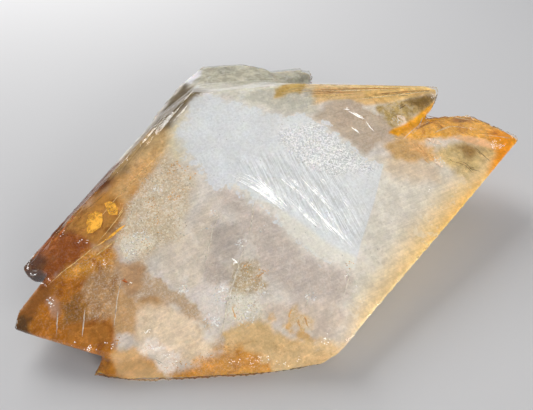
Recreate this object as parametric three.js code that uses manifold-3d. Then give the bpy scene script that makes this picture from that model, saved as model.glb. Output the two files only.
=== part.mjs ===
// A golden calcite crystal about 200 mm long, lying on a flat cleavage face.
// It is a cluster of dog-tooth crystals grown together in parallel, one solid from end to end. Each
// is a twin, mirrored across a girdle near x = 0, so every point at the west end (-X) has a partner
// at the east end (+X). The broad top is two growth faces that meet in a blunt seam at the girdle.
// Millimetres, +Z up. X runs along the shared long axis, Y across towards the high back edge.
import * as THREE from "three";
import { ConvexGeometry } from "three/addons/geometries/ConvexGeometry.js";
import { mergeVertices } from "three/addons/utils/BufferGeometryUtils.js";
import Module from "manifold-3d";

const wasm = await Module();
wasm.setup();

// Driving dimensions, in millimetres.
const RIDGE = [-14, 46]; // plan of the highest point, where the seam meets the back ridge
const RIDGE_HEIGHT = 43;
const EAST_SLOPE = [0.03, 0.318]; // rise of the east top face per mm along X and along Y
const WEST_SLOPE = [0.19, 0.306]; // rise of the west top face
const BACK_DROP = 0.05; // how far the back twin's top faces lie under the main one's
const STEP = 0.6; // height of the tallest cleavage step on the top faces
const RIDGES = 6; // growth ridges that fan out along the west flank
const RIDGE_RISE = 0.9;
const SEED = 20;
const MERGE_TOLERANCE = 1e-4;

// Repeatable numbers from 0 to 1.
let state = SEED;
function random() {
  state = (state * 1664525 + 1013904223) % 4294967296;
  return state / 4294967296;
}
const between = (low, high) => low + (high - low) * random();

// A flat growth face through a point: its height over any place of the plan.
function growthFace([x0, y0, z0], [slopeX, slopeY]) {
  const height = (x, y) => z0 + slopeX * (x - x0) + slopeY * (y - y0);
  height.normal = new THREE.Vector3(-slopeX, -slopeY, 1).normalize();
  return height;
}

// The face through three points.
function faceThrough(a, b, c) {
  const plane = new THREE.Plane().setFromCoplanarPoints(
    new THREE.Vector3(...a),
    new THREE.Vector3(...b),
    new THREE.Vector3(...c),
  );
  const { x, y, z } = plane.normal;
  return growthFace(a, [-x / z, -y / z]);
}

const peak = [...RIDGE, RIDGE_HEIGHT];
const eastTop = growthFace(peak, EAST_SLOPE);
const westTop = growthFace(peak, WEST_SLOPE);

// Corners given in plan, set on a face, or a little over or under it.
const on = (face, plan, over = 0) => plan.map(([x, y]) => [x, y, face(x, y) + over]);

const seamFoot = [[-20.5, -43]]; // where the seam between the two top faces comes to the front edge

// A closed geometry as a solid that can be joined and cut.
function toSolid(geometry) {
  const bare = geometry.clone();
  bare.deleteAttribute("normal");
  bare.deleteAttribute("uv");
  const merged = mergeVertices(bare, MERGE_TOLERANCE);
  return new wasm.Manifold(
    new wasm.Mesh({
      numProp: 3,
      vertProperties: merged.attributes.position.array,
      triVerts: new Uint32Array(merged.index.array),
    }),
  );
}

// The flat-faced solid round a few corners, each [x, y, z].
function facetedSolid(corners) {
  return toSolid(new ConvexGeometry(corners.map((c) => new THREE.Vector3(...c))));
}

// The main twin, west half: the broad blunt point at the lower left of the top view.
function mainWest() {
  const tip = [[-94, -8, 9.5], [-92.5, -3.5, 11], [-84, 2.5, 11]];
  const front = [[-68.5, -29, 7], [-66, -28.5, 3.5], [-40, -38, 5]];
  const outline = [[-93.5, -8], [-91, -3.5], [-80, 1], [-67, 4], RIDGE, ...seamFoot, [-67.5, -27.7]];
  const top = on(westTop, outline);
  const inside = [[20, 30, 36], [20, -40, 10], [20, -30, 0], [20, 35, 0]];
  const foot = [[-72, -8, 0], [-58, -22, 0], [-50, 4, 0]];
  return facetedSolid([...tip, ...front, ...top, ...inside, ...foot]);
}

// The main twin, east half: the long straight front edge and the thick east point. Its far facet
// slopes away between the top and the tip.
function mainEast() {
  const farFacet = [[81, 7, 27.5], [96.5, 4, 25.5], [99, -8, 25.5]];
  const tip = [[103.7, -15, 25.5], [103, -17.5, 25], [99, -17, 22], [96, 0, 21]];
  const top = on(eastTop, [...seamFoot, [-1, -56], [101, -17.4], [84, -14], [67, -2.5], [-15.9, 20]]);
  const inside = [[-30, 0, 20], [-30, -30, 0]];
  const foot = [[42, -28, 0], [46, 2, 0], [-10, -46, 0], [10, 10, 0], [80, -8, 11]];
  return facetedSolid([...farFacet, ...tip, ...top, ...inside, ...foot]);
}

// The back twin: the narrow west point, the long west flank and the clear east point, which has a
// window facet of its own towards the front.
function backTwin() {
  const westTip = [[-88, 12.5, 15], [-88.6, 10.5, 15], [-88.8, 9.6, 12], [-87.7, 8, 10], [-84, 6, 10]];
  const flank = [[-30.5, 56.8, 26], [-2, 77, 27], [4, 77, 27]];
  const west = on(westTop, [[-83, 7], [-79, 3], [-15, 45]], -BACK_DROP);
  const eastTip = [[86, 17, 34.8], [86.8, 15.5, 33], [84.5, 13.3, 31], [81, 11, 28.5], [79, 16, 27]];
  const window = [[57, 0.5, 26.5], [53, 0.5, 27]];
  const east = on(eastTop, [[-14.2, 44], [-15.9, 20], [28, 35.5], [47, 19], [49, 1.5]], -BACK_DROP);
  const inside = [[0, -20, 20]];
  const foot = [[-70, 8, 0], [-46, 24, 0], [-4, 58, 0], [20, 50, 0], [50, 10, 6], [0, -10, 0]];
  return facetedSolid([
    ...westTip, ...flank, ...west, ...eastTip, ...window, ...east, ...inside, ...foot,
  ]);
}

// The clear lip along the back: a thinner blade behind the ridge, with a point of its own.
function backLip() {
  const blade = facetedSolid([
    [-30.5, 57.5, 26.5], [-12, 74.8, 29], [2, 82.3, 31], [19, 77, 31], [29, 68.5, 30.5],
    [-14, 47, 36], [24, 40, 34], [-26, 54, 20], [0, 76, 19], [20, 68, 17], [0, 60, 10], [24, 44, 14],
  ]);
  const point = facetedSolid([
    [26, 67.5, 30.5], [44, 62.8, 30], [47.8, 59.8, 29.5], [48, 55.8, 27.5], [41, 52.8, 26.5],
    [32, 48, 28.5], [15, 45, 32], [10, 60, 15], [40, 56, 21], [20, 45, 14],
  ]);
  return blade.add(point);
}

// The front twin: the low amber point on the table, and the facet that faces forwards.
function frontTwin() {
  return facetedSolid([
    [-76, -29.2, 2], [-72.4, -26.4, 5], [-67, -33.5, 0], [-61, -37.2, 0], [-27, -50.8, 0],
    [-19, -52.8, 0.5], [-10, -55.8, 1], [-4, -56.2, 6], [-1.5, -55.8, 10],
    ...on(westTop, [...seamFoot, [-48, -33.2], [-60, -28.6]], -0.4), ...on(eastTop, [[-8, -52]], -0.3),
    [-62, -24, 8], [-66, -20, 0], [71, -26, 14], [60, -22, 5], [20, -44, 3], [10, -20, 0],
  ]);
}

// A side crystal: a small six-sided dog-tooth point, parallel to the long axis. Its girdle zigzags,
// its sides are steep and shallow by turns, and reach is negative at the west end.
function smallPoint([x, y, z], reach, radius) {
  const corners = [];
  const sides = 6;
  for (let i = 0; i < sides; i++) {
    const turn = (i / sides) * 2 * Math.PI + 0.3;
    const out = radius * (i % 2 ? 0.75 : 1);
    const zigzag = (i % 2 ? 0.1 : -0.1) * reach;
    corners.push([x + zigzag, y + out * Math.cos(turn), z + 0.75 * out * Math.sin(turn)]);
  }
  corners.push([x + reach, y - 0.6, z - 0.5], [x + reach, y + 0.6, z + 0.4], [x - 0.9 * reach, y, z]);
  return facetedSolid(corners);
}

// Side crystals under the overhanging ends and the back, each [centre of its girdle, reach, radius].
const sideCrystals = [
  [[66, -14, 15], 24, 11],
  [[50, -18, 9], 22, 9],
  [[52, 12, 20], 26, 13],
  [[30, 30, 16], 26, 15],
  [[16, 58, 17], 24, 13],
  [[-14, 58, 15], -28, 13],
  [[-40, 36, 11], -26, 12],
  [[-64, 8, 7], -17, 8],
  [[-68, -10, 5], -17, 9],
];

// A growth ridge: a long low prism that lies on a face and dies out at both ends.
function growthRidge(face, from, to, width, height) {
  const a = new THREE.Vector2(...from);
  const b = new THREE.Vector2(...to);
  const along = b.clone().sub(a);
  const side = new THREE.Vector2(-along.y, along.x).setLength(width / 2);
  const crest = [0.06, 0.94].map((t) => a.clone().addScaledVector(along, t));
  const sunk = -1.5;
  const plan = [a, b];
  const low = plan.flatMap((p) => [p.clone().add(side), p.clone().sub(side)]);
  return facetedSolid([
    ...on(face, low.map((p) => [p.x, p.y]), sunk),
    ...on(face, crest.map((p) => [p.x, p.y]), height),
  ]);
}

// The west flank runs down from the back ridge to the long lower edge of the back twin.
const flankEdge = [[-88, 12.5, 15], [-30.5, 56.8, 26]];
const westFlank = faceThrough(...flankEdge, peak);

// Ridges that fan out along the flank, from the west point to the lip.
function flankRidges() {
  const mix = ([x0, y0], [x1, y1], t) => [x0 + (x1 - x0) * t, y0 + (y1 - y0) * t];
  const ridges = [];
  for (let i = 0; i < RIDGES; i++) {
    const t = (i + 0.5) / RIDGES;
    const start = mix([-84, 14.5], [-79, 11], t);
    const end = mix([-30, 55.5], [-19, 46], t);
    const near = mix(start, end, between(0, 0.16));
    const far = mix(start, end, between(0.75, 1));
    ridges.push(growthRidge(westFlank, near, far, 2.4, RIDGE_RISE * between(0.4, 1)));
  }
  return ridges;
}

// A prism over a closed outline of the plan.
function prismOver(plan, low, high) {
  const shape = new THREE.Shape(plan.map(([x, y]) => new THREE.Vector2(x, y)));
  const prism = new THREE.ExtrudeGeometry(shape, { depth: high - low, bevelEnabled: false });
  prism.translate(0, 0, low);
  return toSolid(prism);
}

const SKY = 90;

// A cleavage step on a top face: what is taken off in an outline whose first corners follow the
// step's line. It is startDepth deep at the line's first corner, endDepth at its last corner, and
// its floor rises to meet the face at the vanishing point.
function cleavageStep(face, line, beyond, vanish, startDepth, endDepth) {
  const [start] = on(face, line, -startDepth);
  const [end] = on(face, line.slice(-1), -endDepth);
  const floor = faceThrough(start, end, ...on(face, [vanish]));
  const { normal } = floor;
  const offset = normal.dot(new THREE.Vector3(0, 0, floor(0, 0)));
  return prismOver([...line, ...beyond], 0, SKY).trimByPlane([normal.x, normal.y, normal.z], offset);
}

// The long bowed step across the east top, from the front edge to the notch between the two east
// points, and three short straight ones on the west top that die out before the middle.
function topSteps() {
  const bowed = [[3, -48], [9, -40.5], [18.5, -32.3], [31, -19], [40, -8.2], [47, 3]];
  return [
    cleavageStep(eastTop, bowed, [[60, 30], [140, 0], [120, -60], [0, -70]], [103, -17], STEP, STEP * 0.5),
    cleavageStep(westTop, [[-37.5, -41.3], [-8, -7]], [[-80, 0], [-60, -60]], [-80, 0], STEP, 0),
    cleavageStep(westTop, [[-66, -27], [-57, -2]], [[-92, -4], [-80, -50]], [-92, -4], STEP * 0.8, 0),
    cleavageStep(westTop, [[-76, -22], [-74, -4]], [[-93, -6], [-90, -50]], [-93, -6], STEP * 0.7, 0),
  ];
}

// A flake broken from an edge: a small irregular flat-faced bite.
function flake([x, y, z], size) {
  const corners = [];
  for (let i = 0; i < 9; i++) {
    const turn = between(0, 2 * Math.PI);
    const lift = between(-1, 1);
    const flat = Math.sqrt(1 - lift * lift);
    corners.push([
      x + size * flat * Math.cos(turn),
      y + size * flat * Math.sin(turn),
      z + 0.7 * size * lift,
    ]);
  }
  return facetedSolid(corners);
}

// Edges that show small breaks: [corners along the edge, flakes, largest size].
const wornEdges = [
  [[[-94, -8, 10], [-68, -29, 8]], 6, 1.6],
  [[[-94, -8, 11], [-84, 2, 14]], 3, 1.8],
  [[[-76, -29, 2], [-61, -37.5, 0.5], [-28, -51, 0.3]], 7, 1.5],
  [[[-10, -56, 1], [-1, -57, 10]], 4, 2],
  [[[-1, -57, 11], [101, -18.5, 26]], 14, 1.2],
  [[[105, -15, 25.5], [99.5, -8, 26], [97, 4.5, 26]], 7, 1.9],
  [[[96, 4.5, 27], [81, 6.5, 29.5]], 3, 1.3],
  [[[85.5, 17.5, 35.5], [28, 35, 40.5]], 5, 0.9],
  [[[86.5, 15.5, 33], [80, 10.5, 29]], 3, 1.2],
  [[[48.5, 58, 29], [44, 63.5, 30.5], [29, 69.2, 31], [19, 77.6, 31.3]], 10, 2.2],
  [[[2, 83, 31.3], [-12, 75.5, 29.3], [-31, 58, 26.5]], 5, 1.3],
  [[[-31, 57.5, 26], [-88, 13, 15]], 7, 1.1],
  [[[-89, 11, 14], [-84, 5.5, 10]], 4, 1.4],
];

function edgeFlakes() {
  const flakes = [];
  for (const [corners, count, largest] of wornEdges) {
    const line = new THREE.CurvePath();
    for (let i = 1; i < corners.length; i++) {
      const ends = corners.slice(i - 1, i + 1).map((c) => new THREE.Vector3(...c));
      line.add(new THREE.LineCurve3(...ends));
    }
    for (let i = 0; i < count; i++) {
      const at = line.getPointAt((i + between(0.1, 0.9)) / count);
      flakes.push(flake(at.toArray(), largest * between(0.45, 1)));
    }
  }
  return flakes;
}

// Everything grown together, then broken back to its steps, its flakes and its resting face.
function growCrystal() {
  const grown = [
    mainWest(), mainEast(), backTwin(), backLip(), frontTwin(),
    ...sideCrystals.map((s) => smallPoint(...s)), ...flankRidges(),
  ].reduce((whole, one) => whole.add(one));
  const broken = [...topSteps(), ...edgeFlakes()].reduce((whole, one) => whole.subtract(one), grown);
  // Splinters that a cut sets loose have fallen away: the crystal is what is left.
  const pieces = broken.trimByPlane([0, 0, 1], 0).decompose();
  return pieces.reduce((largest, one) => (one.volume() > largest.volume() ? one : largest));
}

// The solid's mesh, in the frame whose origin is under the middle of the crystal.
function crystalMesh(solid) {
  const made = solid.getMesh();
  const geometry = new THREE.BufferGeometry();
  geometry.setAttribute("position", new THREE.BufferAttribute(new Float32Array(made.vertProperties), 3));
  geometry.setIndex(new THREE.BufferAttribute(made.triVerts, 1));
  geometry.computeBoundingBox();
  const { min, max } = geometry.boundingBox;
  geometry.translate(-(min.x + max.x) / 2, -(min.y + max.y) / 2, -min.z);
  geometry.computeVertexNormals();
  const calcite = new THREE.MeshStandardMaterial({ color: 0xdcc08c, roughness: 0.25, metalness: 0 });
  const mesh = new THREE.Mesh(geometry, calcite);
  mesh.name = "calcite_crystal";
  return mesh;
}

const group = new THREE.Group();
group.add(crystalMesh(growCrystal()));
export default group;
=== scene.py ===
"""Dresses the golden calcite crystal: a glassy skin round milky, coloured and fractured calcite.

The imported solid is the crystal's form. The skin is a finer copy of it in clear calcite. Under the skin
lie the milky body, whose colour and density change from zone to zone, the cleavage lines, the frosted
feathers and the small grains and flecks that the eye sees in the stone. Places are in millimetres in
the part's own frame, seen in plan, unless a name says otherwise; meshes are made in metres.
"""
import logging
import math
from dataclasses import dataclass, field
from enum import Enum

import bpy
import numpy as np
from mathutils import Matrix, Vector, noise
from mathutils.bvhtree import BVHTree


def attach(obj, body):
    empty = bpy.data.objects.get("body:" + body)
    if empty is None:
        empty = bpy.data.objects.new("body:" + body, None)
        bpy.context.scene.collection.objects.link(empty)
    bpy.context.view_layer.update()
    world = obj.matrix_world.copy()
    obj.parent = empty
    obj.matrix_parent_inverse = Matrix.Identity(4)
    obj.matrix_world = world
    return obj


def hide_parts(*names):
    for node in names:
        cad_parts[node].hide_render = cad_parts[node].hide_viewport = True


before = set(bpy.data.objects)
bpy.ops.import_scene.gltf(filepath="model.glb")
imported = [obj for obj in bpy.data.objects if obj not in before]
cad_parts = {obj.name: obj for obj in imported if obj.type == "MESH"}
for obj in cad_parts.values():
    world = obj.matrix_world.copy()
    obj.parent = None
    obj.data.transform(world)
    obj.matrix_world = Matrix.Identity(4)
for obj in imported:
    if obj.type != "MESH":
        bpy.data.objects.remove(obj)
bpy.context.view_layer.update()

LOG = logging.getLogger("calcite")
MM = 0.001
PER_SQUARE_MM = 1e6
ABOVE = 0.1
DOWN = Vector((0, 0, -1))
NODE = "calcite_crystal"
BODY = "root"

# How the skin changes the colour of the stone under it.
DISPLAY_GAMMA = 2.2
THROWN_BACK = 0.02
PASSED_ON = (0.86, 0.83, 0.785)
DARKEST, LIGHTEST = 0.006, 0.97

Triple = tuple[float, float, float]
Colour = Triple
Plan = tuple[tuple[float, float], ...]
Array = np.ndarray
Mesh = bpy.types.Mesh
Piece = bpy.types.Object
Material = bpy.types.Material
Tree = bpy.types.NodeTree
Socket = bpy.types.NodeSocket


class Ragged(Enum):
    """How the border of a zone breaks up."""

    CLEAN = 0.0
    SOFT = 0.8
    JAGGED = 1.5


@dataclass(frozen=True)
class Zone:
    """An area of the stone with a look of its own.

    look is the colour the zone shows through the skin, from 0 to 255. milk is how densely it fills the
    stone, grain how granular it is, ripple how wavy and veined how strongly light and dark veils cross
    it, each from 0 to 1. feather is half the width of its soft border, border says how that breaks up,
    and a zone that is top_only leaves out the steep sides.
    """

    name: str
    outline: Plan
    look: tuple[int, int, int]
    milk: float = 0.97
    feather: float = 1.2
    border: Ragged = Ragged.SOFT
    grain: float = 0.0
    ripple: float = 0.0
    veined: float = 0.0
    top_only: bool = False


FROST_LINE: Plan = ((3, -53), (7, -50), (14, -43), (25, -33), (31, -27), (38, -20))

FROSTED: Plan = (
    (-14, 30), (-4, 24), (2, 18), (10, 12), (19, 8), (24, 3), (27, -3), (29, -10), (32, -17), (35, -19),
    (38, -20), (31, -27), (25, -33), (14, -43), (7, -50), (3, -47), (-2, -43), (-5, -37), (-8, -32),
    (-9, -29), (-9, -23), (-12, -19), (-16, -16), (-17, -10), (-20, -7), (-24, -7), (-26, -3), (-27, -1),
    (-28, 4), (-30, 8), (-31, 13), (-30, 18), (-25, 22), (-20, 28),
)
FROST_STRIP: Plan = (
    (-16, -15), (-12, -17), (-6, -24), (-1, -32), (2, -38), (7, -44), (10, -47), (7, -50), (3, -47),
    (-2, -43), (-5, -37), (-8, -32), (-9, -29), (-9, -23), (-12, -19),
)
FEATHERED: Plan = ((-14, -1), (-4, -1), (10, -5), (19, -19), (22, -34), (12, -44), (-2, -27), (-11, -17))
CRUST: Plan = (
    (7, 7), (23, 5), (27, -3), (29, -10), (32, -17), (35, -20), (30, -22), (24, -19), (16, -18), (9, -11),
    (6, -4), (4, 2),
)
GRANULAR_WEST: Plan = (
    (-36, 13), (-34, 7), (-30, 2), (-32, -3), (-38, -12), (-41, -19), (-49, -18), (-57, -20), (-61, -15),
    (-63, -9), (-56, 0), (-48, 6),
)

HEART = (208, 199, 189)

ZONES: tuple[Zone, ...] = (
    # East of the clean line: cream that turns to gold at the rim.
    Zone("east_pale", (*FROST_LINE, (52, -14), (70, -22), (84, -32), (40, -50), (0, -66), (-2, -56)),
         (208, 200, 187), feather=1.0, border=Ragged.CLEAN),
    Zone("east_gold", ((-8, -72), (110, -34), (96, -26), (74, -34), (56, -39), (36, -47), (18, -55.5),
         (2, -63)), (226, 193, 132), feather=7.5, border=Ragged.CLEAN),
    Zone("east_rim", ((10, -72), (112, -36), (100, -30), (80, -38), (60, -44), (42, -51.5), (26, -58.5)),
         (217, 160, 62), feather=3.8, border=Ragged.CLEAN, veined=0.5),
    Zone("east_pink", ((37, -18), (44, -18), (52, -23), (59, -29), (54, -34), (44, -30), (35, -23)),
         (207, 190, 168), feather=3.0),
    Zone("east_brown", ((41, -13), (49, -12.5), (54, -15), (57, -21), (55, -25), (49, -23), (43, -20)),
         (191, 158, 110), feather=1.8, grain=0.15, veined=0.4),
    # The far east point.
    Zone("far_amber", ((50, -11), (60, -6), (74, 0), (110, -4), (112, -38), (92, -37), (84, -31), (74, -21),
         (64, -19), (56, -16)), (219, 166, 76), milk=0.95, feather=1.8, grain=0.2, veined=0.9),
    Zone("far_tip", ((88, -22), (112, -22), (112, -38), (74, -40), (80, -33), (85, -30)), (213, 144, 46),
         milk=0.95, feather=2.5, veined=0.9),
    Zone("far_wedge", ((79, -10), (86, -9), (92, -11), (88, -14), (81, -13)), (178, 132, 80), feather=0.9,
         veined=0.4),
    Zone("far_window", ((60, -23), (67, -22), (73, -23), (78, -26), (83, -30), (83, -32), (78, -34.5),
         (72, -36), (66, -36), (63, -33), (61, -29)), (210, 186, 136), milk=0.92, feather=2.4, ripple=0.3,
         veined=0.5),
    Zone("far_dark", ((70, -24), (76, -25), (78, -28), (74, -31), (70, -29)), (162, 130, 82), milk=0.9,
         feather=1.8, ripple=0.3),
    # A painted highlight: the pale facet where the far point catches the light.
    Zone("far_sliver", ((71, -20), (78, -21.5), (84, -25.5), (86, -29), (84.5, -30.5), (81, -28),
         (76, -24.5)), (222, 182, 140), feather=0.6, border=Ragged.CLEAN),
    Zone("far_flakes", ((53, -16), (57, -17), (61, -21), (59, -27), (55, -25), (52, -19)), (208, 170, 118),
         feather=1.6, grain=0.2, veined=0.6),
    # The back east point.
    Zone("back_lobe", ((20, 7), (32, 12), (41, 10), (49, 2), (51, -6), (49, -12), (42, -12), (34, -15),
         (30, -9), (27, -2)), (184, 168, 150), feather=1.6, grain=0.15, veined=0.3),
    Zone("back_strip", ((18, 24), (84, 6), (80, 2.6), (69, 2.5), (61, 3.2), (53, 3.5), (45, 5), (40, 10),
         (32, 12), (22, 12)), (212, 181, 133), feather=0.9, border=Ragged.CLEAN, veined=0.5),
    Zone("back_gold", ((46, 16), (84, 6), (80, 2.6), (69, 2.5), (61, 3.2), (55, 3.6), (48, 8)),
         (214, 181, 122), feather=2.2, border=Ragged.CLEAN, veined=0.7),
    Zone("back_pale", ((44, 5), (49, 3.4), (52, 0), (50, -2), (46, 0)), (204, 197, 186), feather=0.9,
         border=Ragged.JAGGED, grain=0.5),
    Zone("back_window", ((49, 3), (56, 2.6), (69, 1.6), (79, 1.6), (79, 0.6), (74, -1.3), (68, -3.2),
         (63, -5), (56, -7), (50, -8), (49, -3)), (187, 162, 110), milk=0.9, feather=0.9, ripple=0.5),
    Zone("back_dark", ((63, 2), (79, 1.8), (78.5, 0.3), (73, -1.3), (68, -2.4)), (140, 112, 64), milk=0.85,
         feather=1.6, ripple=0.6),
    Zone("back_rim", ((47, -9), (50, -8), (56, -7), (63, -5), (68, -3.2), (74, -1.3), (79.5, 0.8), (84, 6),
         (92, 2), (76, -8), (62, -9), (56, -10.5), (50, -12)), (222, 162, 48), feather=0.5,
         border=Ragged.CLEAN, veined=0.5),
    # The clear lip along the back.
    Zone("lip_grey", ((-24, 40), (-12, 60), (9, 34), (16, 24), (28, 20), (24, 8), (11, 13), (3, 20),
         (-4, 25), (-14, 31)), (199, 194, 180), milk=0.9, feather=2.0, grain=0.15),
    Zone("lip_olive", ((-16, 60), (-4, 76), (14, 70), (46, 52), (38, 34), (20, 21), (9, 32), (0, 46)),
         (187, 181, 162), milk=0.8, feather=2.0, grain=0.12),
    # A painted highlight: the white facet at the lip's west end.
    Zone("lip_white", ((-17, 60), (-9, 68), (-4, 67), (-7, 60), (-12, 56)), (214, 212, 212), feather=1.2),
    Zone("lip_smoke", ((-1, 57), (7, 57), (9, 65), (0, 65)), (162, 158, 142), milk=0.8, feather=2.5),
    Zone("lip_smoke_west", ((-26, 47), (-21, 46), (-18, 54), (-23, 55)), (150, 146, 128), feather=2.5),
    Zone("lip_dark", ((13, 31), (20, 38), (27, 43), (38, 44), (33, 35), (22, 29)), (164, 159, 142),
         milk=0.85, feather=1.4),
    Zone("lip_amber", ((11.5, 20.5), (13, 24), (18, 25.5), (28, 30), (27, 22), (22, 19)), (184, 155, 96),
         feather=1.0, veined=0.3),
    # The west flank and the amber band above it.
    Zone("flank_high", ((-62, 14), (-15, 60), (-12, 33), (-26, 26), (-33, 20), (-54, 10)), (114, 98, 72),
         milk=0.85, feather=2.5),
    Zone("flank_low", ((-98, 2), (-60, 30), (-46, 20), (-54, 10), (-66, 7), (-78, 1), (-90, -3)),
         (104, 66, 26), milk=0.95, feather=4.0, veined=0.5),
    Zone("flank_middle", ((-58, 17), (-46, 26), (-38, 31), (-35, 21), (-45, 14), (-54, 10)), (156, 130, 92),
         milk=0.95, feather=4.0, veined=0.5),
    Zone("amber_west", ((-80, 3), (-66, 9), (-54, 12), (-41, 14), (-36, 15), (-42, 8), (-48, 3), (-54, -3),
         (-61, -8), (-68, -9), (-74, -5)), (186, 138, 76), feather=2.5, veined=0.9),
    Zone("amber_high", ((-47, 14), (-40, 20), (-34, 22), (-28, 20.5), (-31, 16), (-37, 12), (-43, 12)),
         (206, 176, 130), feather=3.4, veined=0.5),
    Zone("amber_spot", ((-58, 8), (-49, 14), (-43, 15), (-38, 14), (-41, 10), (-48, 6), (-55, 3)),
         (209, 170, 116), feather=2.4, grain=0.2, veined=0.5),
    Zone("frost_cream", ((-37, 8), (-35, 14), (-33, 19), (-28, 24), (-22, 27), (-22, 20), (-27, 8)),
         (206, 195, 168), feather=2.5, top_only=True),
    Zone("granular_west", GRANULAR_WEST, (200, 183, 157), feather=3.0, grain=0.9),
    Zone("west_crust", ((-59, -9), (-52, -11), (-50, -15), (-56, -17), (-61, -17), (-62, -12)),
         (220, 212, 194), feather=1.5, grain=1.0),
    # The middle.
    Zone("cream_band", ((-41, -19), (-32, -11), (-27, -10), (-29, -17), (-33, -24), (-37, -29), (-42, -36),
         (-46, -35), (-50, -31), (-52, -25), (-49, -18)), (211, 199, 184), feather=2.0, top_only=True),
    Zone("beige_slope", ((-25, -7), (-21, -8), (-17, -12), (-16, -17), (-13, -20), (-10, -25), (-9, -30),
         (-9, -33), (-6, -39), (-2, -44), (3, -48), (5, -52), (-1, -58), (-15, -52), (-22, -39), (-22, -27),
         (-23, -19), (-26, -12)), (193, 181, 171), feather=2.0, top_only=True, grain=0.26),
    Zone("lilac_one", ((-30, -18), (-23, -22), (-22, -27), (-26, -32), (-31, -31), (-34, -27)),
         (181, 170, 160), feather=1.8),
    Zone("lilac_two", ((-38, -29), (-34, -28), (-30, -33), (-32, -39), (-36, -38), (-40, -34)),
         (186, 174, 163), feather=1.2, grain=0.3),
    Zone("cloud_low", ((-53, -24), (-50, -31), (-42, -35), (-37, -37), (-32, -38), (-36, -44), (-40, -50),
         (-43, -46), (-44, -39), (-48, -35)), (214, 205, 197), feather=1.0, border=Ragged.JAGGED,
         grain=0.45),
    Zone("tan_granular", ((-29, -34), (-24, -34), (-22, -39), (-23, -44), (-28, -45), (-33, -42)),
         (188, 170, 142), feather=1.2, border=Ragged.JAGGED, grain=0.8),
    Zone("white_granular", ((-35, -42), (-25, -45), (-27, -52), (-32, -51), (-38, -47)), (216, 209, 195),
         feather=1.2, grain=1.0),
    Zone("pink_low", ((-26, -48), (-14, -53), (-4, -56), (-2, -62), (-11, -66), (-19, -61), (-26, -53)),
         (203, 189, 175), feather=1.6),
    Zone("stain_row", ((-18, -52.5), (-16.5, -56), (-14.4, -57.5), (-15, -61), (-17.5, -60), (-20.5, -57)),
         (205, 180, 146), feather=0.8, border=Ragged.JAGGED, grain=0.4),
    Zone("stain_line", ((-25, -53.5), (-22.5, -58.5), (-16, -64), (-15.3, -62.6), (-21, -57), (-24, -53)),
         (210, 172, 118), feather=0.8, border=Ragged.JAGGED, grain=0.2),
    Zone("gold_front", ((-28, -52), (-23, -59), (-14, -65), (-7, -68), (-10, -75), (-30, -70), (-42, -54),
         (-40, -50), (-34, -50)), (208, 180, 136), feather=1.2, veined=0.4),
    # West of the cloud: the smoky under-veil and the low west point.
    Zone("low_point", ((-104, -22), (-92, -14), (-84, -10), (-72, -10), (-66, -16), (-66, -30), (-70, -36),
         (-74, -46), (-104, -32)), (174, 114, 47), milk=0.95, feather=2.0, veined=1.0, grain=0.10),
    Zone("smoky", ((-80, -30), (-77, -22), (-73, -15), (-63, -16), (-60, -18), (-57, -20), (-52, -34),
         (-62, -42), (-70, -36)), (182, 147, 108), feather=1.5, veined=0.4),
    Zone("mottle", ((-78, -24), (-73, -15), (-67, -14), (-63, -18), (-67, -27), (-70, -32), (-78, -29)),
         (184, 147, 105), feather=1.2, grain=0.45, milk=0.9, veined=0.8),
    Zone("plain_beige", ((-65, -22), (-59, -30), (-61, -35), (-67, -39), (-71, -35), (-69, -28)),
         (194, 159, 116), feather=0.7, grain=0.15, veined=0.3),
    Zone("front_cream", ((-64, -36), (-61, -32), (-57, -32), (-52, -36), (-47, -42), (-45, -48), (-44, -53),
         (-49, -53), (-54, -51), (-62, -46), (-65, -40)), (220, 202, 178), feather=2.0, veined=0.25),
    Zone("under_veil", ((-64, -17), (-60, -17), (-57, -19), (-54, -26), (-49, -34), (-44, -38), (-43, -46),
         (-42, -50), (-42, -53), (-45, -48), (-47, -41), (-52, -35), (-57, -32), (-60, -30), (-63, -26),
         (-65, -22)), (188, 165, 139), feather=0.8, border=Ragged.JAGGED, grain=0.35),
    Zone("smoky_top", ((-64, -17), (-59, -17), (-56, -22), (-58, -27), (-63, -27)), (185, 152, 118),
         feather=1.5, veined=0.4),
    Zone("low_red", ((-82, -27), (-78, -28), (-70, -31), (-70.5, -35), (-74, -38), (-84, -32)),
         (178, 122, 60), feather=1.0, milk=0.92, veined=0.7),
    Zone("low_window", ((-83, -20), (-79, -20), (-76, -24), (-78, -28), (-84, -27)), (164, 118, 62),
         milk=0.85, feather=1.6, border=Ragged.JAGGED, ripple=0.4, veined=0.7, grain=0.2),
    Zone("low_pink", ((-88, -17.5), (-85, -17), (-84, -20), (-85, -23), (-87.5, -22)), (178, 144, 120),
         feather=1.4, border=Ragged.JAGGED, veined=0.5),
    Zone("low_edge", ((-104, -20), (-94, -16), (-88, -12), (-84, -13), (-88, -17), (-93, -20)),
         (146, 98, 54), feather=1.2),
    Zone("low_dark_edge", ((-100, -21), (-95.5, -19), (-93.5, -20.5), (-94, -24), (-97, -24.5)),
         (102, 74, 40), milk=0.9, feather=0.9, ripple=0.3),
    Zone("front_amber", ((-90, -44), (-72, -41), (-63, -45), (-58, -51), (-49, -53), (-42, -54), (-36, -56),
         (-30, -62), (-30, -75), (-90, -60)), (196, 138, 54), feather=1.2, grain=0.2, veined=0.8),
    Zone("front_tip", ((-90, -44), (-75, -40), (-72, -42.5), (-72, -48), (-90, -60)), (188, 130, 58),
         feather=1.6, veined=0.9),
    Zone("front_tan", ((-69, -40.5), (-66.5, -42.5), (-61, -48), (-58, -53), (-64, -53), (-71, -47),
         (-74, -44), (-73, -41.5)), (206, 170, 122), feather=1.4, veined=0.3),
    Zone("front_gold", ((-50, -54), (-44, -53.5), (-38, -56.5), (-32, -62), (-30, -70), (-44, -68),
         (-52, -60)), (203, 150, 74), feather=2.0, grain=0.2, veined=0.8),
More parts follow.
